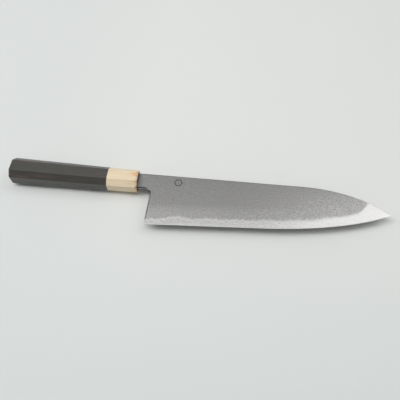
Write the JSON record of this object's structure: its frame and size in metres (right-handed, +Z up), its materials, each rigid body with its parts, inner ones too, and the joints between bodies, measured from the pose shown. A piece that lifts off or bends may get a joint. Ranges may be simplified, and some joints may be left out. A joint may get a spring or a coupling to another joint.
{
  "type": "chef knife",
  "caption": "Long Japanese-style chef's knife with a three-layer blade, bright edge, matte grey sides, tapered octagonal dark handle and a pale horn ferrule.",
  "frame": {"origin": "centre of the bounding box at the level of the handle's lowest facet, on which the knife lies", "axes": "+X to the tip along the handle's axis, +Y to the spine, +Z up, across the blade's thickness"},
  "size_m": [0.3932, 0.0614, 0.0228],
  "materials": {
    "core": "ground and polished high-carbon steel, fine lengthwise scratches",
    "cladding": "matte pear-skin hammered and blasted soft steel",
    "horn": "polished blond buffalo horn, lengthwise streaks",
    "ebony": "oiled ebony, satin, faint red-brown streaks",
    "softwood": "raw magnolia or similar softwood, hidden",
    "resin": "black resin, satin"
  },
  "bodies": {
    "root": {"core_steel": "core", "right_cladding": "cladding", "left_cladding": "cladding", "ferrule": "horn", "handle_body": "ebony", "dowel": "softwood", "mouth_seal": "resin"}
  },
  "joints": []
}
